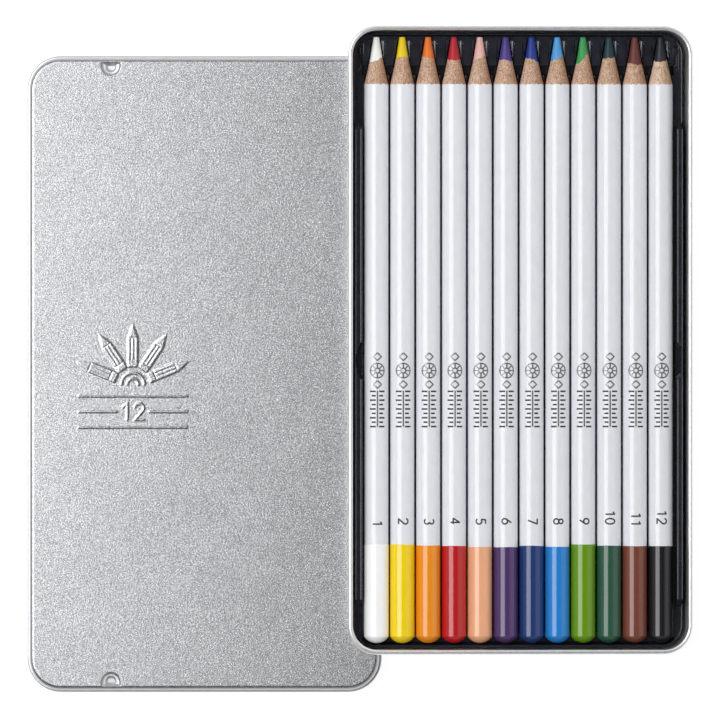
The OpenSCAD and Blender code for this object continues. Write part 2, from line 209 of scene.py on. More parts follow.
def evenly(start, stop, pitch):
    """Stations from start to stop, about pitch apart."""
    return np.linspace(start, stop, max(2, int(math.ceil(abs(stop - start) / pitch)) + 1))


def stations(*parts):
    """Joins runs of stations and drops the double ones."""
    joined = np.concatenate([np.atleast_1d(np.asarray(part, float)) for part in parts])
    return np.unique(np.round(joined, 5))


def bend(x, z, outer, inner, start, stop, steps):
    """A bend of sheet about (x, z), as pairs of points on its two faces."""
    turn = np.radians(np.linspace(start, stop, steps))
    return [((x + outer * math.cos(a), z + outer * math.sin(a)),
             (x + inner * math.cos(a), z + inner * math.sin(a))) for a in turn]


def drawn_sheet(width, length, corner, xs, ys, margins, face, under, wall,
                inset=0.0, steps=CORNER_STEPS):
    """A closed sheet: a field over a rounded rectangle, and a wall swept round its outline.

    margins are distances in from the outline, from 0 to the corner radius. face and under
    give the heights of the sheet's two faces. The wall's points are pairs, one on each
    face, each as the distance out from the outline and the height. inset moves the under
    face's outline in, and steps is the number of rays in a corner.
    """
    near = len(margins) - 1
    half_w, half_l = width / 2, length / 2

    def side(shift):
        moved = np.asarray(margins) * (1 - shift / corner) + shift
        cols = np.concatenate([moved[:-1] - half_w, xs, (half_w - moved[:-1])[::-1]])
        rows = np.concatenate([moved[:-1] - half_l, ys, (half_l - moved[:-1])[::-1]])
        return moved, cols, rows

    _, cols, rows = side(0.0)
    nx, ny = len(cols), len(rows)
    inner_x = (np.arange(nx) >= near) & (np.arange(nx) < nx - near)
    inner_y = (np.arange(ny) >= near) & (np.arange(ny) < ny - near)
    held = inner_x[:, None] | inner_y[None, :]
    index = np.full((nx, ny), -1)
    index[held] = np.arange(held.sum())
    # The field is a grid without its four corners.
    cells = held[:-1, :-1] & held[1:, :-1] & held[1:, 1:] & held[:-1, 1:]
    i, j = np.nonzero(cells)
    quads = [index[i, j], index[i + 1, j], index[i + 1, j + 1], index[i, j + 1]]
    faces = np.stack(quads, 1).tolist()
    count = int(held.sum())
    # Each corner is a fan of rays from the outline to one middle point.
    fans = {}
    for sx, sy in ((1, 1), (-1, 1), (-1, -1), (1, -1)):
        column = nx - 1 - near if sx > 0 else near
        row = ny - 1 - near if sy > 0 else near
        outward = [nx - 1 - m if sx > 0 else m for m in range(near)]
        upward = [ny - 1 - m if sy > 0 else m for m in range(near)]
        rays = [[index[c, row] for c in outward]]
        for _ in range(steps - 1):
            rays.append(list(range(count, count + near)))
            count += near
        rays.append([index[column, r] for r in upward])
        fans[sx, sy] = rays
        middle = index[column, row]
        for a, b in zip(rays[:-1], rays[1:]):
            wedge = [(a[m], b[m], b[m + 1], a[m + 1]) for m in range(near - 1)]
            wedge.append((a[-1], b[-1], middle))
            faces += [quad if sx * sy > 0 else quad[::-1] for quad in wedge]

    def plan(shift):
        moved, cols, rows = side(shift)
        grid = np.stack(np.meshgrid(cols, rows, indexing="ij"), -1)[held]
        points = np.zeros((count, 2))
        points[: len(grid)] = grid
        for (sx, sy), rays in fans.items():
            for k in range(1, steps):
                angle = math.pi / 2 * k / steps
                reach = corner - moved[:-1]
                points[rays[k], 0] = sx * (half_w - corner + reach * math.cos(angle))
                points[rays[k], 1] = sy * (half_l - corner + reach * math.sin(angle))
        return points

    # The outline, once round, and the direction straight out from it.
    ring = list(index[-1, near:ny - near])
    ring += [ray[0] for ray in fans[1, 1][1:-1]] + list(index[near:nx - near, -1][::-1])
    ring += [ray[0] for ray in fans[-1, 1][1:-1][::-1]] + list(index[0, near:ny - near][::-1])
    ring += [ray[0] for ray in fans[-1, -1][1:-1]] + list(index[near:nx - near, 0])
    ring += [ray[0] for ray in fans[1, -1][1:-1][::-1]]
    edge = plan(0.0)[ring]
    hub = np.stack([np.clip(edge[:, 0], corner - half_w, half_w - corner),
                    np.clip(edge[:, 1], corner - half_l, half_l - corner)], 1)
    outward = (edge - hub) / corner

    # The points of both faces, each with its side of the wall.
    both = []
    for level, shift, which in ((face, 0.0, 0), (under, inset, 1)):
        flat = plan(shift)
        layers = [np.column_stack([flat, level(*flat.T)])]
        for pair in wall:
            out, z = pair[which]
            layers.append(np.column_stack([edge + outward * out, np.full(len(edge), z)]))
        both.append(np.concatenate(layers))
    # The wall's faces, the same again for the under side, and the strip that joins their ends.
    total, around = len(both[0]), len(ring)
    last = np.asarray(ring)
    for k in range(len(wall)):
        fresh = count + k * around + np.arange(around)
        faces += np.stack([last, fresh, np.roll(fresh, -1), np.roll(last, -1)], 1).tolist()
        last = fresh
    back = [tuple(total + v for v in f[::-1]) for f in faces]
    strip = np.stack([last, last + total, np.roll(last, -1) + total, np.roll(last, -1)], 1).tolist()
    return np.concatenate(both), faces + back + strip


def new_finish(name, colour, roughness, **constants):
    """A finish with its plain values on the shader's own sockets."""
    finish = bpy.data.materials.new(name)
    finish.use_nodes = True
    finish.diffuse_color = (*colour, 1)
    tree = finish.node_tree
    shader = tree.nodes["Principled BSDF"]
    shader.inputs["Base Color"].default_value = (*colour, 1)
    shader.inputs["Roughness"].default_value = roughness
    for key, value in constants.items():
        shader.inputs[key.replace("_", " ")].default_value = value
    return finish, tree, shader


def grain(tree, scale, stretch=(1, 1, 1), detail=2.0, distortion=0.0, turn=0.0):
    """Noise on the piece's own coordinates; scale is in grains for each metre."""
    place = add(tree, "TexCoord")
    drawn = add(tree, "Mapping", {"Vector": place.outputs["Object"], "Scale": stretch,
                                  "Rotation": (turn, turn, turn)})
    made = add(tree, "TexNoise", {"Vector": drawn.outputs[0], "Scale": scale, "Detail": detail,
                                  "Distortion": distortion})
    return made.outputs["Fac"]


def shades(tree, fac, stops):
    """A ramp of colours over a factor; stops are (place, colour)."""
    ramp = add(tree, "ValToRGB", {"Fac": fac})
    band = ramp.color_ramp
    while len(band.elements) < len(stops):
        band.elements.new(0.5)
    for element, (place, colour) in zip(band.elements, stops):
        element.position = place
        element.color = (*colour, 1)
    return ramp.outputs["Color"]


def blended(tree, how, share, first, second):
    """Blends two colours in one of Blender's ways."""
    mix = add(tree, "Mix", data_type="RGBA", blend_type=how)
    mix.inputs[0].default_value = share
    tree.links.new(first, mix.inputs[6])
    tree.links.new(second, mix.inputs[7])
    return mix.outputs[2]


def relief(tree, height, depth):
    """Fine relief of a surface; depth is in metres."""
    return add(tree, "Bump", {"Height": height, "Distance": depth}).outputs[0]


def scaled(colour, factor):
    """A colour made darker or lighter, at most 1 in each part."""
    return tuple(min(1.0, c * factor) for c in colour)


def tinplate(name, colour, roughness, grains, contrast, depth, face_from=-1.0):
    """Tinplate: fine grains that differ in shade, gloss and slope, under a faint cloudiness.

    Below face_from, a height in metres, the sheet is duller than its face and lighter by a painted sheen.
    """
    finish, tree, shader = new_finish(name, colour, roughness, Metallic=1.0)
    fine = grain(tree, grains, detail=2.0, distortion=0.6, turn=0.6)
    cloud = grain(tree, 70, detail=3.0)
    speckle = shades(tree, fine, [(0.34, scaled(colour, 1 - contrast)),
                                  (0.66, scaled(colour, 1 + contrast))])
    clouds = shades(tree, cloud, [(0.3, (0.93, 0.93, 0.93)), (0.7, (1, 1, 1))])
    clouded = blended(tree, "MULTIPLY", 1.0, speckle, clouds)
    height = add(tree, "SeparateXYZ", {0: add(tree, "TexCoord").outputs["Object"]})
    low = add(tree, "MapRange", {"Value": height.outputs["Z"], "From Min": face_from - SHEEN_FADE,
                                 "From Max": face_from, "To Min": 1.0, "To Max": 0.0})
    # Painted sheen: below the face the same metal is made lighter, for the brighter light that the lid's
    # edge and hem catch.
    dim, bright = SHEEN_LIFT
    painted_sheen = shades(tree, fine, [(0.3, scaled(colour, dim)), (0.7, scaled(colour, bright))])
    both = blended(tree, "MIX", 1.0, clouded, painted_sheen)
    tree.links.new(low.outputs[0], both.node.inputs[0])
    tree.links.new(both, shader.inputs["Base Color"])
    rough = add(tree, "MapRange", {"Value": fine, "To Min": roughness - 0.05,
                                   "To Max": roughness + 0.06})
    dull = add(tree, "MapRange", {"Value": low.outputs[0], "To Max": SHEEN_DULLER})
    dulled = add(tree, "Math", {0: rough.outputs[0], 1: dull.outputs[0]}, operation="ADD")
    tree.links.new(dulled.outputs[0], shader.inputs["Roughness"])
    tree.links.new(relief(tree, fine, depth), shader.inputs["Normal"])
    return finish


def make_piece(name, points, faces, finish, body, place):
    """A smooth closed piece from points in millimetres, laid where place puts it."""
    mesh = bpy.data.meshes.new(name)
    mesh.from_pydata((np.asarray(points) * MM).tolist(), [], faces)
    form = bmesh.new()
    form.from_mesh(mesh)
    form.transform(place)
    bmesh.ops.recalc_face_normals(form, faces=form.faces)
    form.to_mesh(mesh)
    form.free()
    mesh.shade_smooth()
    mesh.set_sharp_from_angle(angle=math.radians(SHARP_ANGLE))
    mesh.materials.append(finish)
    piece = bpy.data.objects.new(name, mesh)
    bpy.context.collection.objects.link(piece)
    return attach(piece, body)


def tongue(x, inward, width, length, depth, slope):
    """Depth of a pressed tongue: straight at inward = 0, round at its far end."""
    straight = length - width / 2
    round_end = width / 2 - np.hypot(x, np.maximum(inward - straight, 0))
    return depth * smooth_step(np.minimum(inward, round_end) / slope)


def arc_line(x, y, radius, start=0, stop=360, pitch=4):
    """An arc about (x, y), with angles in degrees."""
    turn = np.radians(evenly(start, stop, pitch))
    return np.stack([x + radius * np.cos(turn), y + radius * np.sin(turn)], 1)


def digit_lines(text, x, y, height):
    """Plain digits as lines, from x on along the baseline y."""
    bow = {
        "0": [np.stack([0.28 + 0.26 * np.sin(np.linspace(0, 2 * np.pi, 33)),
                        0.5 + 0.46 * np.cos(np.linspace(0, 2 * np.pi, 33))], 1)],
        "1": [np.array([[0.1, 0.78], [0.34, 0.96], [0.34, 0.04]])],
        "2": [np.concatenate([arc_line(0.29, 0.7, 0.26, 165, -38, 8), [[0.04, 0.04], [0.56, 0.04]]])],
        "3": [np.concatenate([arc_line(0.27, 0.73, 0.23, 150, -75, 8),
                              arc_line(0.27, 0.28, 0.25, 75, -150, 8)])],
        "4": [np.array([[0.44, 0.04], [0.44, 0.96], [0.04, 0.32], [0.6, 0.32]])],
        "5": [np.concatenate([[[0.52, 0.96], [0.14, 0.96], [0.1, 0.56]],
                              arc_line(0.28, 0.31, 0.27, 105, -145, 8)])],
        "6": [np.concatenate([[[0.44, 0.96]], arc_line(0.3, 0.3, 0.26, 150, 510, 8)])],
        "7": [np.array([[0.04, 0.96], [0.56, 0.96], [0.2, 0.04]])],
        "8": [arc_line(0.3, 0.74, 0.21, 0, 360, 8), arc_line(0.3, 0.29, 0.25, 0, 360, 8)],
        "9": [np.concatenate([[[0.14, 0.04]], arc_line(0.28, 0.7, 0.26, -30, -390, 8)])],
    }
    lines = []
    for k, figure in enumerate(text):
        lines += [line * height + (x + k * DIGIT_STEP * height, y) for line in bow[figure]]
    return lines


def pencil_outline(x, y, lean):
    """A raised pencil with its butt at (x, y): its outline, and the lines cut in it."""
    half, shoulder = FAN_WIDTH / 2, FAN_LENGTH - FAN_WIDTH * FAN_CONE
    body = np.array([[-half, 0], [half, 0], [half, shoulder], [0, FAN_LENGTH], [-half, shoulder],
                     [-half, 0]])
    cuts = [np.array([[-half, level], [half, level]]) for level in (shoulder, FAN_BUTT)]
    cuts += [np.array([[side, FAN_BUTT], [side, shoulder]])
             for side in (-half * FAN_FACET, half * FAN_FACET)]
    c, s = math.cos(math.radians(lean)), math.sin(math.radians(lean))
    turn = np.array([[c, -s], [s, c]])
    return body @ turn + (x, y), [cut @ turn + (x, y) for cut in cuts]


def fan_of_pencils():
    """Five raised pencils, spread like a fan."""
    spread = []
    for lean in FAN_LEANS:
        angle = math.radians(lean)
        x, y = FAN_RADIUS * math.sin(angle), FAN_RADIUS * math.cos(angle)
        spread.append(pencil_outline(x, y + FAN_Y, lean))
    return spread


def rule(start, stop, level):
    """A straight line across the motif."""
    return np.array([[start, level], [stop, level]])


def motif_lines():
    """Two arcs at the fan's root, and three rules, the middle one with a plain 12 in a gap."""
    lines = [arc_line(0, FAN_Y, radius, 0, 180) for radius in ARC_RADII]
    lines += [rule(-RULE_HALF, RULE_HALF, level) for level in (RULE_TOP, RULE_LOW)]
    lines += [rule(-RULE_HALF, -RULE_GAP, RULE_MIDDLE), rule(RULE_GAP, RULE_HALF, RULE_MIDDLE)]
    return lines + digit_lines("12", FIGURE_X, FIGURE_Y, FIGURE_HEIGHT)


def distance_to(lines, x, y):
    """Distance of each point to the nearest line."""
    nearest = np.full(x.shape, np.inf)
    for line in lines:
        for (ax, ay), (bx, by) in zip(line[:-1], line[1:]):
            dx, dy = bx - ax, by - ay
            along = np.clip(((x - ax) * dx + (y - ay) * dy) / (dx * dx + dy * dy), 0, 1)
            nearest = np.minimum(nearest, np.hypot(x - ax - along * dx, y - ay - along * dy))
    return nearest


def within(outline, x, y):
    """True for the points inside a closed outline."""
    crossed = np.zeros(x.shape, bool)
    for (ax, ay), (bx, by) in zip(outline[:-1], outline[1:]):
        if ay != by:
            crossed ^= ((ay > y) != (by > y)) & (x < (bx - ax) * (y - ay) / (by - ay) + ax)
    return crossed


def raised(x, y):
    """How far the motif stands up, from 0 to 1."""
    away = distance_to(motif_lines(), x, y)
    height = 1 - smooth_step((away - LINE_WIDTH / 2) / MOTIF_SLOPE + 0.5)
    for outline, cuts in fan_of_pencils():
        away = distance_to([outline], x, y)
        deep = np.where(within(outline, x, y), away, -away)
        cut = 1 - smooth_step((distance_to(cuts, x, y) - CUT_WIDTH / 2) / MOTIF_SLOPE + 0.5)
        height = np.maximum(height, smooth_step(deep / MOTIF_SLOPE + 0.5) * (1 - CUT_DEPTH * cut))
    return height


def lid_relief(x, y):
    """Height of the lid's face over its flat: two dimples down, the motif up."""
    inward = LID_LENGTH / 2 - DIMPLE_EDGE - np.abs(y)
    across = x - DIMPLE_X
    height = -tongue(across, inward, **DIMPLE) - tongue(across, inward - CUP_EDGE, **CUP)
    mx, my = x - MOTIF_X, y - MOTIF_Y
    close = (np.abs(mx) < MOTIF_REACH) & (np.abs(my) < MOTIF_REACH)
    height[close] += MOTIF_HEIGHT * raised(mx[close], my[close])
    return height


def lid():
    """The lid's sheet, laid in the middle of its node's box."""
    flat_in = HEM_WIDTH - LID_SHEET + LID_EDGE
    width, length = LID_WIDTH - 2 * flat_in, LID_LENGTH - 2 * flat_in
    corner = LID_CORNER - flat_in
    reach_x, reach_y = width / 2 - corner, length / 2 - corner
    left, right = MOTIF_X - MOTIF_FINE, MOTIF_X + MOTIF_FINE
    rear, front = MOTIF_Y - MOTIF_FINE, MOTIF_Y + MOTIF_FINE
    xs = stations(evenly(-reach_x, left, 2), evenly(left, right, MOTIF_PITCH),
                  evenly(right, reach_x, 2.5))
    ys = stations(evenly(-reach_y, rear, 2.5), evenly(rear, front, MOTIF_PITCH),
                  evenly(front, reach_y, 2.5))
    # Fine near the outline, where the dimples are.
    margins = stations(evenly(0, 4.4, 0.16), evenly(4.4, corner, 1.2))
    low, skirt, curl = HEM_ROUND, LID_EDGE - LID_SHEET, HEM_ROUND - LID_SHEET
    hem_out = skirt + HEM_WIDTH - HEM_ROUND
    wall = bend(0, LID_HEIGHT - LID_EDGE, LID_EDGE, skirt, 90, 0, 12)[1:]
    wall += [((LID_EDGE, z), (skirt, z)) for z in evenly(LID_HEIGHT - LID_EDGE, low, 1.4)[1:-1]]
    wall += bend(skirt + low, low, curl, HEM_ROUND, 180, 270, 6)
    wall += bend(hem_out, low, curl, HEM_ROUND, 270, 360, 6)
    wall += bend(hem_out, HEM_HEIGHT - HEM_ROUND, curl, HEM_ROUND, 0, 90, 6)
    wall.append(((LID_EDGE + HEM_SLIT, HEM_HEIGHT - LID_SHEET), (LID_EDGE + HEM_SLIT, HEM_HEIGHT)))
    points, faces = drawn_sheet(
        width, length, corner, xs, ys, margins,
        lambda x, y: LID_HEIGHT + lid_relief(x, y),
        lambda x, y: LID_HEIGHT - LID_SHEET + lid_relief(x, y), wall)
    low_corner, high_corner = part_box("lid")
    middle = (low_corner + high_corner) / 2
    finish = tinplate("lid_grain", LID_COLOUR, roughness=0.25, grains=4500, contrast=0.55,
                      depth=0.00003, face_from=0.0079)
    place = Matrix.Translation((middle.x, middle.y, 0))
    piece = make_piece("lid_sheet", points, faces, finish, "lid", place)
    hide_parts("lid")


lid()

# The tray: one drawn sheet of satin tinplate with a rounded foot, low walls and a rim
# rolled outward. It stands on its right foot and leans on the lid's edge.
TRAY_WIDTH, TRAY_LENGTH, TRAY_HEIGHT = 100.0, 181.5, 11.0
TRAY_CORNER = 8.5
TRAY_SHEET = 0.3
TRAY_COLOUR = (0.86, 0.865, 0.875)
RIM = 1.4
RIM_END = -110
FOOT = 2.0
TILT = math.asin(0.0915508)
FOOT_X = TRAY_WIDTH / 2 - (RIM - TRAY_SHEET) - FOOT
STAND_X = 92.2751
TRAY_Y = 5.5
LEANING = (Matrix.Translation((STAND_X * MM, TRAY_Y * MM, FOOT * MM)) @ Matrix.Rotation(TILT, 4, "Y")
           @ Matrix.Translation((-FOOT_X * MM, 0, -FOOT * MM)))


def tray():
    """The tray's sheet, leaning as it does in the layout."""
    flat_in = RIM - TRAY_SHEET + FOOT
    width, length = TRAY_WIDTH - 2 * flat_in, TRAY_LENGTH - 2 * flat_in
    corner = TRAY_CORNER - flat_in
    xs = evenly(corner - width / 2, width / 2 - corner, 6)
    ys = evenly(corner - length / 2, length / 2 - corner, 6)
    margins = evenly(0, corner, 1.4)
    roll_z, roll = TRAY_HEIGHT - RIM / 2, RIM / 2
    inner, outer = FOOT - TRAY_SHEET, FOOT
    wall = bend(0, FOOT, inner, outer, 270, 360, 10)[1:]
    wall += [((inner, z), (outer, z)) for z in evenly(FOOT, roll_z, 2)[1:-1]]
    wall += bend(inner + roll, roll_z, roll, roll - TRAY_SHEET, 180, RIM_END, 36)
    points, faces = drawn_sheet(
        width, length, corner, xs, ys, margins,
        lambda x, y: np.full(x.shape, TRAY_SHEET), lambda x, y: np.zeros(x.shape), wall, steps=20)
    finish = tinplate("tray_satin", TRAY_COLOUR, roughness=0.38, grains=1400, contrast=0.06,
                      depth=0.000002)
    piece = make_piece("tray_sheet", points, faces, finish, "tray", LEANING)
    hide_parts("tray")


tray()

# The insert: one formed sheet of glossy black plastic in the tray, with twelve grooves,
# twelve nests between standing walls for the points, a cross trench behind them, a finger
# trough across the middle, hollow side rails with a notch, and a lip round its edge.
COUNT = 12
PITCH = 7.5
AXIS_Z = 4.45
GROOVE = 3.75
POINT_Y = 87.5
INSERT_SHEET = 0.4
INSERT_WIDTH, INSERT_LENGTH, INSERT_CORNER = 95.4, 176.9, 6.2
UNDERSIDE = 0.35
PAD = UNDERSIDE + INSERT_SHEET
RIDGE, RIDGE_SOFT = 2.872, 0.12
LIP, LIP_ROUND = 0.4, 0.15
RAIL_TOP, RAIL_WIDTH, RAIL_ROUND = 6.6, 1.6, 0.5
RAIL_REAR, RAIL_FRONT, RAIL_BEVEL, RAIL_LEAN = -76.7, 62.7, 2.0, 0.22
RAIL_BEAD, RAIL_BEAD_HALF, RAIL_BEAD_IN = 0.14, 0.18, 0.2
LEFT_FOOT, RIGHT_FOOT = 0.82, 0.6
RAIL_FLAT = 0.3
RAIL_X = INSERT_WIDTH / 2 - RAIL_WIDTH
ROW_X = COUNT * PITCH / 2
ROW_MARGIN, ROW_SPARE = 0.25, 0.2
BLOCK_WIDTH, BLOCK_TOP = 2.5, 4.05
BLOCK_BEAD, BLOCK_BEAD_HALF, BLOCK_BEAD_OUT = 0.03, 0.12, 0.3
NEST_REAR, NEST_FRONT, NEST_Z, NEST_SILL = 79.28, 87.8, 1.8, 0.6
SHELF_HALF, SHELF_REAR, SHELF_FRONT = 2.0, 81.9, 86.5
SHELF_Z, SHELF_SLOPE, SHELF_FLAT, SHELF_EDGE = 3.5, 0.24, 1.55, 0.3
POINT_HALF, POINT_FLARE, POINT_ROOM, POINT_END = 0.85, 0.165, 0.1, 1.3
RECESS_X, RECESS_REAR, RECESS_FRONT, RECESS_Z = 46.3, 79.7, 84.8, 1.9
TRENCH_WIDTH = 2.6
TRENCH_REAR = NEST_REAR - TRENCH_WIDTH
GROOVE_REAR, RIDGE_REAR = -87.8, -84.6
TROUGH_REAR, TROUGH_FRONT = -10.9, -1.1
NOTCH_OVER = 0.15
SKIRT_TOP, SKIRT_TOP_UNDER = 2.6, 2.4
SKIRT_IN, SKIRT_FLARE = 3.1, 0.9
WALL_RUN = 0.3
STEEPEST = 3
LANE_STEPS = 48
PLASTIC = (0.015, 0.016, 0.024)


def inside(*distances, run=WALL_RUN):
    """1 inside a region, 0 outside, from the distances to its edges."""
    nearest = np.minimum.reduce(np.broadcast_arrays(*distances))
    return smooth_step(nearest / run + 0.5)


def towards(height, target, share):
    """Moves a height by a share of its way to a target."""
    return height + (target - height) * share


def edge_distance(x, y):
    """Distance in from the insert's outline."""
    px = np.abs(x) - (INSERT_WIDTH / 2 - INSERT_CORNER)
    py = np.abs(y) - (INSERT_LENGTH / 2 - INSERT_CORNER)
    corner = INSERT_CORNER - np.hypot(np.maximum(px, 0), np.maximum(py, 0))
    return np.where((px > 0) & (py > 0), corner, INSERT_CORNER - np.maximum(px, py))


def rounding(inward, radius):
    """How far a rounded edge falls below its flat, from the distance in from the edge."""
    return radius * (1 - np.sqrt(1 - (1 - np.clip(inward / radius, 0, 1)) ** 2))


def insert_face(x, y):
    """Height of the insert's upper face, feature by feature."""
    lane = np.clip(np.round(x / PITCH + (COUNT - 1) / 2), 0, COUNT - 1)
    across = x - (lane - (COUNT - 1) / 2) * PITCH
    groove = AXIS_Z - np.sqrt(np.maximum(GROOVE ** 2 - across ** 2, 0))
    groove = RIDGE - RIDGE_SOFT * np.log1p(np.exp((RIDGE - groove) / RIDGE_SOFT))
    height = np.full(x.shape, RIDGE)
    grooved = inside(y - GROOVE_REAR, TRENCH_REAR + ROW_SPARE - y)
    height = towards(height, np.maximum(groove, PAD), grooved)
    row = ROW_X - np.abs(x)
    height = towards(height, PAD, inside(row, y - GROOVE_REAR, RIDGE_REAR - y))
    height = towards(height, PAD, inside(row, y - TRENCH_REAR, NEST_REAR - y))
    block = inside(ROW_X + ROW_MARGIN - np.abs(x), y - NEST_REAR, NEST_FRONT - y)
    off_bead = np.abs(np.abs(across) - PITCH / 2) - BLOCK_BEAD_OUT
    beads = BLOCK_BEAD * np.exp(-(off_bead / BLOCK_BEAD_HALF) ** 2)
    height = towards(height, BLOCK_TOP + beads, block)
    nest_half = (PITCH - BLOCK_WIDTH) / 2
    reach = np.hypot(across, np.maximum(y - (NEST_FRONT - nest_half), 0))
    nest = inside(nest_half - reach, y - NEST_REAR, run=0.12) * (block > 0)
    height = towards(height, SHELF_Z + SHELF_EDGE, nest)
    shelf = SHELF_Z + SHELF_SLOPE * (np.minimum(np.abs(across), SHELF_FLAT) - POINT_HALF)
    on_shelf = inside(SHELF_HALF - np.abs(across), y - SHELF_REAR, SHELF_FRONT - y, run=0.2)
    height = towards(height, shelf, on_shelf)
    slot = POINT_HALF + POINT_ROOM + POINT_FLARE * (POINT_Y - y)
    reach = np.hypot(across, np.maximum(y - (NEST_FRONT - POINT_END), 0))
    sunk = inside(slot - reach, y - NEST_REAR + NEST_SILL, row + ROW_SPARE, run=0.25)
    height = towards(height, np.minimum(height, NEST_Z), sunk)
    recess = inside(np.abs(x) - ROW_X - ROW_MARGIN, RECESS_X - np.abs(x),
                    y - RECESS_REAR - ROW_X + np.abs(x), RECESS_FRONT - y, run=0.5)
    height = towards(height, RECESS_Z, recess)
    height = towards(height, PAD, inside(RAIL_X - np.abs(x), y - TROUGH_REAR, TROUGH_FRONT - y))
    edge = edge_distance(x, y)
    lip = RIDGE + LIP - rounding(edge, LIP_ROUND)
    height = towards(height, lip, inside(LIP - edge, run=0.2))
    slope = (RAIL_TOP - RIDGE) / RAIL_BEVEL
    ends = RIDGE + LIP + slope * np.minimum(y - RAIL_REAR, RAIL_FRONT - y)
    foot = np.abs(x) - RAIL_X + np.where(x < 0, LEFT_FOOT, RIGHT_FOOT)
    side = np.minimum(edge, foot - RAIL_LEAN + RAIL_FLAT)
    bead = RAIL_BEAD * np.exp(-((foot - RAIL_LEAN - RAIL_BEAD_IN) / RAIL_BEAD_HALF) ** 2)
    rail = np.minimum(RAIL_TOP, ends) - rounding(side, RAIL_ROUND) + bead
    bow = RAIL_WIDTH - INSERT_SHEET
    middle = (TROUGH_REAR + TROUGH_FRONT) / 2
    half = (TROUGH_FRONT - TROUGH_REAR) / 2
    ahead = half - np.abs(y - middle)
    cut_left = bow * (1 - ((y - middle) / half) ** 2) - (-x - RAIL_X)
    cut_right = np.minimum(ahead - (x - RAIL_X), bow - (x - RAIL_X))
    notch = inside(np.where(x < 0, cut_left, cut_right), ahead + NOTCH_OVER, run=0.25)
    rail = towards(rail, RIDGE, notch)
    rail = np.minimum(rail, RIDGE + (RAIL_TOP - RIDGE) * foot / RAIL_LEAN)
    standing = inside(foot, y - RAIL_REAR, RAIL_FRONT - y, run=0.1)
    return towards(height, np.maximum(rail, height), standing)


def insert_under(x, y):
    """The underside follows the face at the sheet's thickness."""
    step = 0.05
    slope_x = (insert_face(x + step, y) - insert_face(x - step, y)) / (2 * step)
    slope_y = (insert_face(x, y + step) - insert_face(x, y - step)) / (2 * step)
    depth = INSERT_SHEET * np.minimum(np.sqrt(1 + slope_x ** 2 + slope_y ** 2), STEEPEST)
    return np.maximum(insert_face(x, y) - depth, UNDERSIDE)


def gloss_plastic():
    """Black formed sheet: glossy, with the faint waviness and fine scuffs of formed plastic."""
    finish, tree, shader = new_finish("black_formed_sheet", PLASTIC, 0.12, IOR=1.62)
    wave = grain(tree, 260, detail=2.0)
    tint = shades(tree, wave, [(0.3, scaled(PLASTIC, 0.8)), (0.7, scaled(PLASTIC, 1.5))])
    tree.links.new(tint, shader.inputs["Base Color"])
    scuff = grain(tree, 1800, detail=4.0)
    rough = add(tree, "MapRange", {"Value": scuff, "From Min": 0.3, "From Max": 0.7,
                                   "To Min": 0.06, "To Max": 0.16})
    tree.links.new(rough.outputs[0], shader.inputs["Roughness"])
    tree.links.new(relief(tree, wave, 0.000008), shader.inputs["Normal"])
    return finish


def insert():
    """The insert's sheet, finest at the nests, the trough and the ends of the rails."""
    reach_x, reach_y = INSERT_WIDTH / 2 - INSERT_CORNER, INSERT_LENGTH / 2 - INSERT_CORNER
    lanes = int(reach_x / PITCH * LANE_STEPS)
    xs = stations(-reach_x, np.arange(-lanes, lanes + 1) * PITCH / LANE_STEPS, reach_x)
    # Runs of stations from rear to front, and how far apart the stations lie in each.
    stops = (-reach_y, RAIL_REAR - 1, RAIL_REAR + 3, TROUGH_REAR - 1.2, TROUGH_FRONT + 1.2,
             RAIL_FRONT - 3, RAIL_FRONT + 1, TRENCH_REAR - 1, reach_y)
    pitches = (2, 0.4, 4, 0.2, 4, 0.4, 3, 0.12)
    ys = stations(*(evenly(*run) for run in zip(stops[:-1], stops[1:], pitches)))
    margins = stations([0, 0.03, 0.08, 0.15, 0.25, 0.33], evenly(0.4, 3.0, 0.1),
                       evenly(3.0, INSERT_CORNER, 0.25))
    slant = SKIRT_IN - RIM - SKIRT_FLARE + INSERT_SHEET
    wall = [((0, SKIRT_TOP), (-INSERT_SHEET, SKIRT_TOP_UNDER)), ((0, FOOT), (-INSERT_SHEET, FOOT)),
            ((-slant, UNDERSIDE), (-slant - INSERT_SHEET, UNDERSIDE))]
    points, faces = drawn_sheet(INSERT_WIDTH, INSERT_LENGTH, INSERT_CORNER, xs, ys, margins,
                                insert_face, insert_under, wall, inset=INSERT_SHEET, steps=60)
    piece = make_piece("insert_sheet", points, faces, gloss_plastic(), "insert", LEANING)
    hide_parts("insert")


insert()

# The pencils: twelve round cedar rods with a coloured core, sharpened by machine, skinned
# with white lacquer and dipped in their colour at the butt. Each has a foil device, a
# scale and its plain number stamped on the barrel.
LENGTH = 175.0
BARREL, WOOD, DIP = 3.5, 3.4, 3.6
CORE, BORE = 1.9, 1.91
TURN = 96
CONE_S = (0.0, 0.38, 1.24, 3.56, 5.87, 8.19, 10.5, 12.8, 13.85)
CONE_R = (0.82, 0.88, 1.02, 1.38, 1.75, 2.2, 2.71, 3.27, BARREL)
CUT_SHARES = (0.03, 0.1, 0.22, 0.36, 0.5, 0.64, 0.76, 0.86, 0.94, 1.0)
WOOD_SHARES = (0, 0.15, 0.3, 0.45, 0.6, 0.75, 0.9, 1.0)
LEAD_AIR, BORE_AIR = 0.012, 0.002
LEAD_WAVE, LEAD_WAVES = 0.006, 7
SEAM_DEPTH, SEAM_ANGLE = 0.09, 0.07
SKIN_END = 13.6
FULL_FROM = 20
DOME_RISE, DOME_STEPS = 1.95, 9
DIP_COAT = 0.25
STAMP_OVER, STAMP_UNDER, STAMP_PITCH = 0.012, 0.02, 0.2
DEVICE_LINE, SCALE_LINE, NUMBER_LINE = 0.4, 0.5, 0.45
DEVICE_Y, NUMBER_START, NUMBER_HEIGHT = -11.4, -53.1, 3.0
RING_AT, RING, EYE, RAY_START, RAY_STOP = -2.6, 2.1, 0.7, 0.9, 1.9
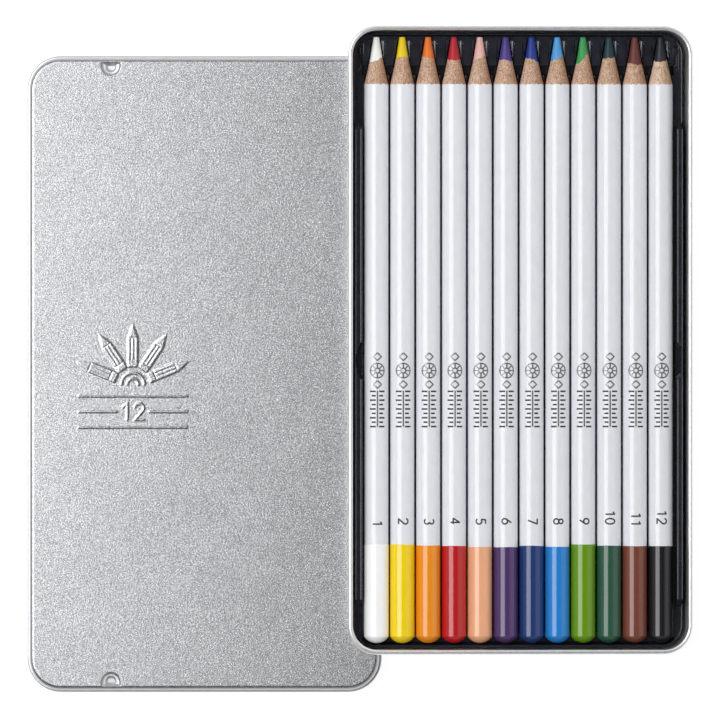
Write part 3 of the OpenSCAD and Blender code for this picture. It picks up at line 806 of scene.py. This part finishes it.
DIAMONDS_AT, DIAMOND_LONG, DIAMOND_WIDE = (-6.6, 1.4), 1.1, 1.2
SCALE_START, SCALE_STOP, SCALE_FIRST = 3.2, 13.6, -3.4
STROKES, STROKE_PITCH, STROKE_GAP = 9, 1.27, 0.5
STROKE_LONG, STROKE_SHORT = 1.75, 1.2
THETA = np.arange(TURN) * 2 * np.pi / TURN


def srgb(red, green, blue):
    """A colour as written in eight-bit values, turned into the linear values that shaders take."""
    return tuple((v / 255 / 12.92) if v <= 10 else ((v / 255 + 0.055) / 1.055) ** 2.4
                 for v in (red, green, blue))


PENCILS = [
    {"name": "white", "lead": (254, 254, 250), "dip": (254, 254, 254),
     "edge": (7.1, 6.8, 5.2), "dipped": 28.5, "seam": 0},
    {"name": "yellow", "lead": (246, 216, 15), "dip": (247, 214, 20),
     "edge": (6.3, 5.8, 6.1), "dipped": 28.5, "seam": -24},
    {"name": "orange", "lead": (240, 122, 45), "dip": (239, 146, 30),
     "edge": (5.5, 6.1, 6.6), "dipped": 28.2, "seam": 4},
    {"name": "red", "lead": (188, 38, 52), "dip": (188, 28, 33),
     "edge": (6.4, 6.7, 6.4), "dipped": 28.1, "seam": 28},
    {"name": "peach", "lead": (243, 190, 180), "dip": (240, 176, 134),
     "edge": (6.9, 6.0, 5.4), "dipped": 27.8, "seam": 0},
    {"name": "purple", "lead": (78, 62, 140), "dip": (78, 53, 106),
     "edge": (6.9, 6.6, 7.2), "dipped": 27.7, "seam": 0},
    {"name": "dark_blue", "lead": (34, 58, 148), "dip": (34, 58, 116),
     "edge": (6.2, 6.4, 7.4), "dipped": 28.1, "seam": -30},
    {"name": "light_blue", "lead": (88, 166, 232), "dip": (38, 130, 210),
     "edge": (6.8, 6.2, 5.0), "dipped": 27.8, "seam": 20},
    {"name": "light_green", "lead": (66, 164, 92), "dip": (102, 150, 6),
     "edge": (7.7, 6.2, 3.8), "dipped": 28.5, "seam": 3},
    {"name": "dark_green", "lead": (35, 62, 70), "dip": (44, 88, 68),
     "edge": (6.3, 6.0, 5.8), "dipped": 28.1, "seam": 0},
    {"name": "brown", "lead": (108, 58, 53), "dip": (123, 68, 53),
     "edge": (7.5, 7.8, 8.0), "dipped": 28.0, "seam": -4},
    {"name": "black", "lead": (38, 40, 46), "dip": (28, 28, 33),
     "edge": (6.8, 7.0, 6.5), "dipped": 28.0, "seam": 34},
]


def cone_radius(along):
    """Radius of the sharpened end, from the distance along it."""
    return np.interp(along, CONE_S, CONE_R)


def cone_place(radius):
    """Distance along the sharpened end, from its radius."""
    return np.interp(radius, CONE_R, CONE_S)


def ripple(seed, lobes, amplitude):
    """An uneven line round the rod, from a few waves with fixed chance phases."""
    chance = np.random.default_rng(seed)
    line = sum(np.cos(k * THETA + chance.uniform(0, 2 * np.pi)) * chance.uniform(0.4, 1)
               for k in lobes)
    return amplitude * line / np.abs(line).max()


def turned(rings, looped=False):
    """A solid about the pencil's axis, from rings given as (distance from the point, radius).

    A radius of 0 makes a pole, and looped joins the last ring to the first.
    """
    points, faces, spans = [], [], []
    for along, radius in rings:
        if np.ndim(radius) == 0 and radius == 0:
            spans.append([len(points)])
            points.append((0, POINT_Y - float(np.mean(along)), 0))
            continue
        along, radius = np.broadcast_to(along, TURN), np.broadcast_to(radius, TURN)
        spans.append(list(range(len(points), len(points) + TURN)))
        points += list(zip(radius * np.sin(THETA), POINT_Y - along, radius * np.cos(THETA)))
    pairs = list(zip(spans[:-1], spans[1:])) + ([(spans[-1], spans[0])] if looped else [])
    for a, b in pairs:
        if len(a) == 1 and len(b) == 1:
            continue
        for k in range(TURN):
            n = (k + 1) % TURN
            if len(a) == 1:
                faces.append((a[0], b[k], b[n]))
            elif len(b) == 1:
                faces.append((a[k], b[0], a[n]))
            else:
                faces.append((a[k], b[k], b[n], a[n]))
    return points, faces


def dome(radius, rise, end):
    """Rings of a domed end, from its shoulder to its pole."""
    ball = (radius ** 2 + rise ** 2) / (2 * rise)
    angles = np.linspace(math.asin(radius / ball), 0, DOME_STEPS)
    return [(end - ball * (1 - math.cos(angle)), ball * math.sin(angle)) for angle in angles]


def cedar_finish(name, pale):
    """Cut cedar: a stipple of cut fibres and darker streaks, with painted shade that makes the right flank
    darker and redder.
    """
    dark, mid, light = srgb(176, 130, 102), srgb(220, 180, 151), srgb(246, 212, 187)
    if pale:
        dark, mid, light = srgb(204, 162, 128), srgb(238, 206, 176), srgb(252, 228, 202)
    finish, tree, shader = new_finish(name, mid, 0.72, Specular_IOR_Level=0.25)
    fibres = grain(tree, 4200, (1, 0.45, 1), detail=3.0)
    base = shades(tree, fibres, [(0.34, dark), (0.49, mid), (0.64, light)])
    streaks = grain(tree, 2300, (1, 0.12, 1), detail=2.0)
    lines = shades(tree, streaks, [(0.34, (0.66, 0.58, 0.52)), (0.5, (1, 1, 1))])
    streaked = blended(tree, "MULTIPLY", 0.8, base, lines)
    # Painted shade: across each pencil's lane the wood goes from lighter on the left to darker and redder
    # on the right, the side away from the lamp.
    start = (LEANING @ Vector((-ROW_X * MM, 0, AXIS_Z * MM))).x
    lane_width = PITCH * math.cos(TILT) * MM
    place = add(tree, "SeparateXYZ", {0: add(tree, "TexCoord").outputs["Object"]})
    lane = add(tree, "Math", {0: place.outputs["X"], 1: start}, operation="SUBTRACT")
    lane = add(tree, "Math", {0: lane.outputs[0], 1: lane_width}, operation="DIVIDE")
    lane = add(tree, "Math", {0: lane.outputs[0]}, operation="FRACT")
    painted_flank_shade = shades(tree, lane.outputs[0], [(0.3, (0.9, 0.94, 1.0)), (0.52, (0.82, 0.83, 0.83)),
                                           (0.73, (0.69, 0.65, 0.63)), (0.9, (0.62, 0.52, 0.45))])
    tree.links.new(blended(tree, "MULTIPLY", 1.0, streaked, painted_flank_shade), shader.inputs["Base Color"])
    tree.links.new(relief(tree, fibres, 0.00004), shader.inputs["Normal"])
    return finish


def lead_finish(name, colour):
    """Waxy pigment, cut by the sharpener: streaks along the rod and a dull shine."""
    finish, tree, shader = new_finish(name, colour, 0.42, Specular_IOR_Level=0.4)
    streak = grain(tree, 1700, (1, 0.1, 1), detail=3.0)
    tint = shades(tree, streak, [(0.3, scaled(colour, 0.88)), (0.55, colour),
                                 (0.75, scaled(colour, 1.1))])
    tree.links.new(tint, shader.inputs["Base Color"])
    rough = add(tree, "MapRange", {"Value": streak, "To Min": 0.32, "To Max": 0.55})
    tree.links.new(rough.outputs[0], shader.inputs["Roughness"])
    tree.links.new(relief(tree, streak, 0.00003), shader.inputs["Normal"])
    return finish


def lacquer_finish(name, colour, roughness, ior):
    """Gloss lacquer over wood: a faint unevenness of colour, gloss and surface."""
    finish, tree, shader = new_finish(name, colour, roughness, IOR=ior)
    peel = grain(tree, 700, (1, 0.35, 1), detail=2.0)
    tint = shades(tree, peel, [(0.3, scaled(colour, 0.97)), (0.7, scaled(colour, 1.02))])
    tree.links.new(tint, shader.inputs["Base Color"])
    rough = add(tree, "MapRange", {"Value": peel, "To Min": roughness - 0.03,
                                   "To Max": roughness + 0.05})
    tree.links.new(rough.outputs[0], shader.inputs["Roughness"])
    tree.links.new(relief(tree, peel, 0.000004), shader.inputs["Normal"])
    return finish


def stamp_finish(name, colour, metallic, roughness):
    """Stamped foil or ink, slightly worn."""
    finish, tree, shader = new_finish(name, colour, roughness, Metallic=metallic)
    wear = grain(tree, 3000, detail=2.0)
    tint = shades(tree, wear, [(0.3, scaled(colour, 0.8)), (0.7, scaled(colour, 1.25))])
    tree.links.new(tint, shader.inputs["Base Color"])
    return finish


def dense(line):
    """The same line with points close enough to follow the barrel."""
    parts = []
    for a, b in zip(line[:-1], line[1:]):
        steps = max(1, int(math.ceil(np.hypot(*(b - a)) / STAMP_PITCH)))
        parts.append(a + (b - a) * np.arange(steps)[:, None] / steps)
    return np.concatenate(parts + [line[-1:]])


def stamped(lines, width):
    """Thin raised ribbons on the barrel along lines given as (along the rod, round the rod)."""
    points, faces = [], []
    for line in lines:
        path = dense(np.asarray(line, float))
        heading = np.gradient(path, axis=0)
        heading /= np.hypot(*heading.T)[:, None]
        aside = np.stack([-heading[:, 1], heading[:, 0]], 1) * width / 2
        first, n = len(points), len(path)
        for radius in (BARREL + STAMP_OVER, BARREL - STAMP_UNDER):
            for side in (path + aside, path - aside):
                turn = side[:, 1] / BARREL
                points += list(zip(radius * np.sin(turn), side[:, 0], radius * np.cos(turn)))
        top_l, top_r, low_l, low_r = (first + k * n for k in range(4))
        for k in range(n - 1):
            for a, b in ((top_l, top_r), (top_r, low_r), (low_r, low_l), (low_l, top_l)):
                faces.append((a + k, a + k + 1, b + k + 1, b + k))
        faces.append((top_l, top_r, low_r, low_l))
        faces.append((top_l + n - 1, low_l + n - 1, low_r + n - 1, top_r + n - 1))
    return points, faces


def device_lines():
    """The foil device: a star in a ring between two diamonds, and a long rule."""
    lines = [arc_line(RING_AT, 0, RING), arc_line(RING_AT, 0, EYE)]
    for angle in range(0, 360, 45):
        c, s = math.cos(math.radians(angle)), math.sin(math.radians(angle))
        lines.append(np.array([[RING_AT + RAY_START * c, RAY_START * s],
                               [RING_AT + RAY_STOP * c, RAY_STOP * s]]))
    for x in DIAMONDS_AT:
        lines.append(np.array([[x - DIAMOND_LONG, 0], [x, DIAMOND_WIDE], [x + DIAMOND_LONG, 0],
                               [x, -DIAMOND_WIDE], [x - DIAMOND_LONG, 0]]))
    lines.append(np.array([[SCALE_START, 0], [SCALE_STOP, 0]]))
    return [line * (-1, 1) for line in lines]


def scale_lines():
    """Two rows of short dark strokes along the rule, like the marks on a scale."""
    strokes = []
    for step in range(STROKES):
        along = SCALE_FIRST - STROKE_PITCH * step
        reach = STROKE_LONG if step % 2 == 0 else STROKE_SHORT
        strokes += [np.array([[along, side * STROKE_GAP], [along, side * (STROKE_GAP + reach)]])
                    for side in (-1, 1)]
    return strokes


def number_lines(number):
    """A pencil's number, read along the barrel."""
    figure = [line * (-1, 1) for line in digit_lines(str(number), 0, -NUMBER_HEIGHT / 2, NUMBER_HEIGHT)]
    shift = max(line[:, 0].min() * -1 for line in figure)
    return [line + (shift + NUMBER_START, 0) for line in figure]


def pencils():
    """The twelve pencils, each with its lead, wood, barrel and cap, and three stampings."""
    barrel = lacquer_finish("white_lacquer", srgb(233, 235, 240), 0.15, 1.5)
    foil = stamp_finish("silver_foil", (0.2, 0.2, 0.21), 0.9, 0.4)
    ink = stamp_finish("grey_ink", srgb(48, 48, 54), 0.0, 0.5)
    cedar, pale_cedar = cedar_finish("cedar_cut", False), cedar_finish("cedar_cut_pale", True)
    for order, made in enumerate(PENCILS):
        name, body = made["name"], made["name"] + "_pencil"
        place = LEANING @ Matrix.Translation(((order - (COUNT - 1) / 2) * PITCH * MM, 0, AXIS_Z * MM))
        left, top, right = made["edge"]
        mean = (left + right) / 2
        edge = mean + (right - left) / 2 * np.sin(THETA) + (top - mean) * np.cos(THETA)
        edge = edge + ripple(order, (3, 5, 8), 0.22)
        core = cone_radius(edge)
        edge = cone_place(core)
        skin = np.full(TURN, SKIN_END) + ripple(order + 50, (7, 11, 14, 17), 0.2)
        wood = cone_radius(skin)
        end = LENGTH - DIP_COAT
        butt_end = LENGTH - made["dipped"]

        # The lead: blunt at its tip, and faintly faceted by the cutter.
        facet = 1 + LEAD_WAVE * np.cos(LEAD_WAVES * THETA + order)
        rings = [(0.0, 0), (0.0, 0.62), (0.04, 0.76)]
        rings += [(share * edge, (cone_radius(share * edge) - LEAD_AIR) * facet) for share in CUT_SHARES]
        rings += [(edge + 1.0, core - LEAD_AIR), (FULL_FROM, CORE), (end - 0.4, CORE), (end - 0.4, 0)]
        pigment = lead_finish(name + "_pigment", srgb(*made["lead"]))
        lead = make_piece(name + "_lead", *turned(rings), pigment, body, place)
        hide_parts(name + "_core")

        # The wood: its sharpened end has a fine groove along each glue seam.
        off_seam = np.abs((THETA - math.radians(made["seam"]) + math.pi / 2) % math.pi - math.pi / 2)
        seam = SEAM_DEPTH * np.exp(-(off_seam / SEAM_ANGLE) ** 2)
        rings = []
        for share in WOOD_SHARES:
            along = edge + (skin - edge) * share
            rings.append((along, cone_radius(along) - seam * min(1, share * 3)))
        rings += [(skin + 0.3, wood - 0.1), (FULL_FROM, WOOD)]
        rings += [ring for ring in dome(WOOD, DOME_RISE - DIP_COAT / 2, end) if ring[1] > 2]
        rings += [(end - 0.3, BORE), (FULL_FROM, BORE), (edge + 1.0, core - BORE_AIR)]
        rod = make_piece(name + "_wood", *turned(rings, looped=True),
                         pale_cedar if name == "black" else cedar, body, place)
        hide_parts(name + "_casing")

        # The barrel's skin: it ends in a wavy cut at the cone, and half a millimetre under the dip.
        rings = [(skin, wood), ((skin + CONE_S[-1]) / 2, (wood + BARREL) / 2 + 0.004), (CONE_S[-1], BARREL),
                 (30, BARREL), (100, BARREL), (butt_end + 0.5, BARREL), (butt_end + 0.5, WOOD),
                 (FULL_FROM, WOOD + 0.002), (skin + 0.3, wood + 0.002)]
        coat = make_piece(name + "_barrel", *turned(rings, looped=True), barrel, body, place)
        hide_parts(name + "_lacquer")

        # The dip: a thicker skin with a soft front edge, closed over the domed butt.
        line = butt_end + ripple(order + 90, (1, 2, 3), 0.06)
        rings = [(line + 0.6, BARREL - 0.05), (line, BARREL - 0.01), (line + 0.02, BARREL + 0.025),
                 (line + 0.1, DIP - 0.008), (line + 0.3, DIP), (165, DIP)]
        rings += dome(DIP, DOME_RISE, LENGTH)
        rings += dome(WOOD + 0.02, DOME_RISE - DIP_COAT / 2, end + 0.02)[::-1]
        gloss = lacquer_finish(name + "_dip_gloss", srgb(*made["dip"]), 0.12, 1.55)
        cap = make_piece(name + "_cap", *turned(rings, looped=True), gloss, body, place)
        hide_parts(name + "_dip")

        # The stampings, on top of the barrel.
        middle = place @ Matrix.Translation((0, DEVICE_Y * MM, 0))
        device = make_piece(name + "_device", *stamped(device_lines(), DEVICE_LINE), foil, body, middle)
        marks = make_piece(name + "_scale", *stamped(scale_lines(), SCALE_LINE), ink, body, middle)
        number = make_piece(name + "_number", *stamped(number_lines(order + 1), NUMBER_LINE), ink,
                            body, place)


pencils()
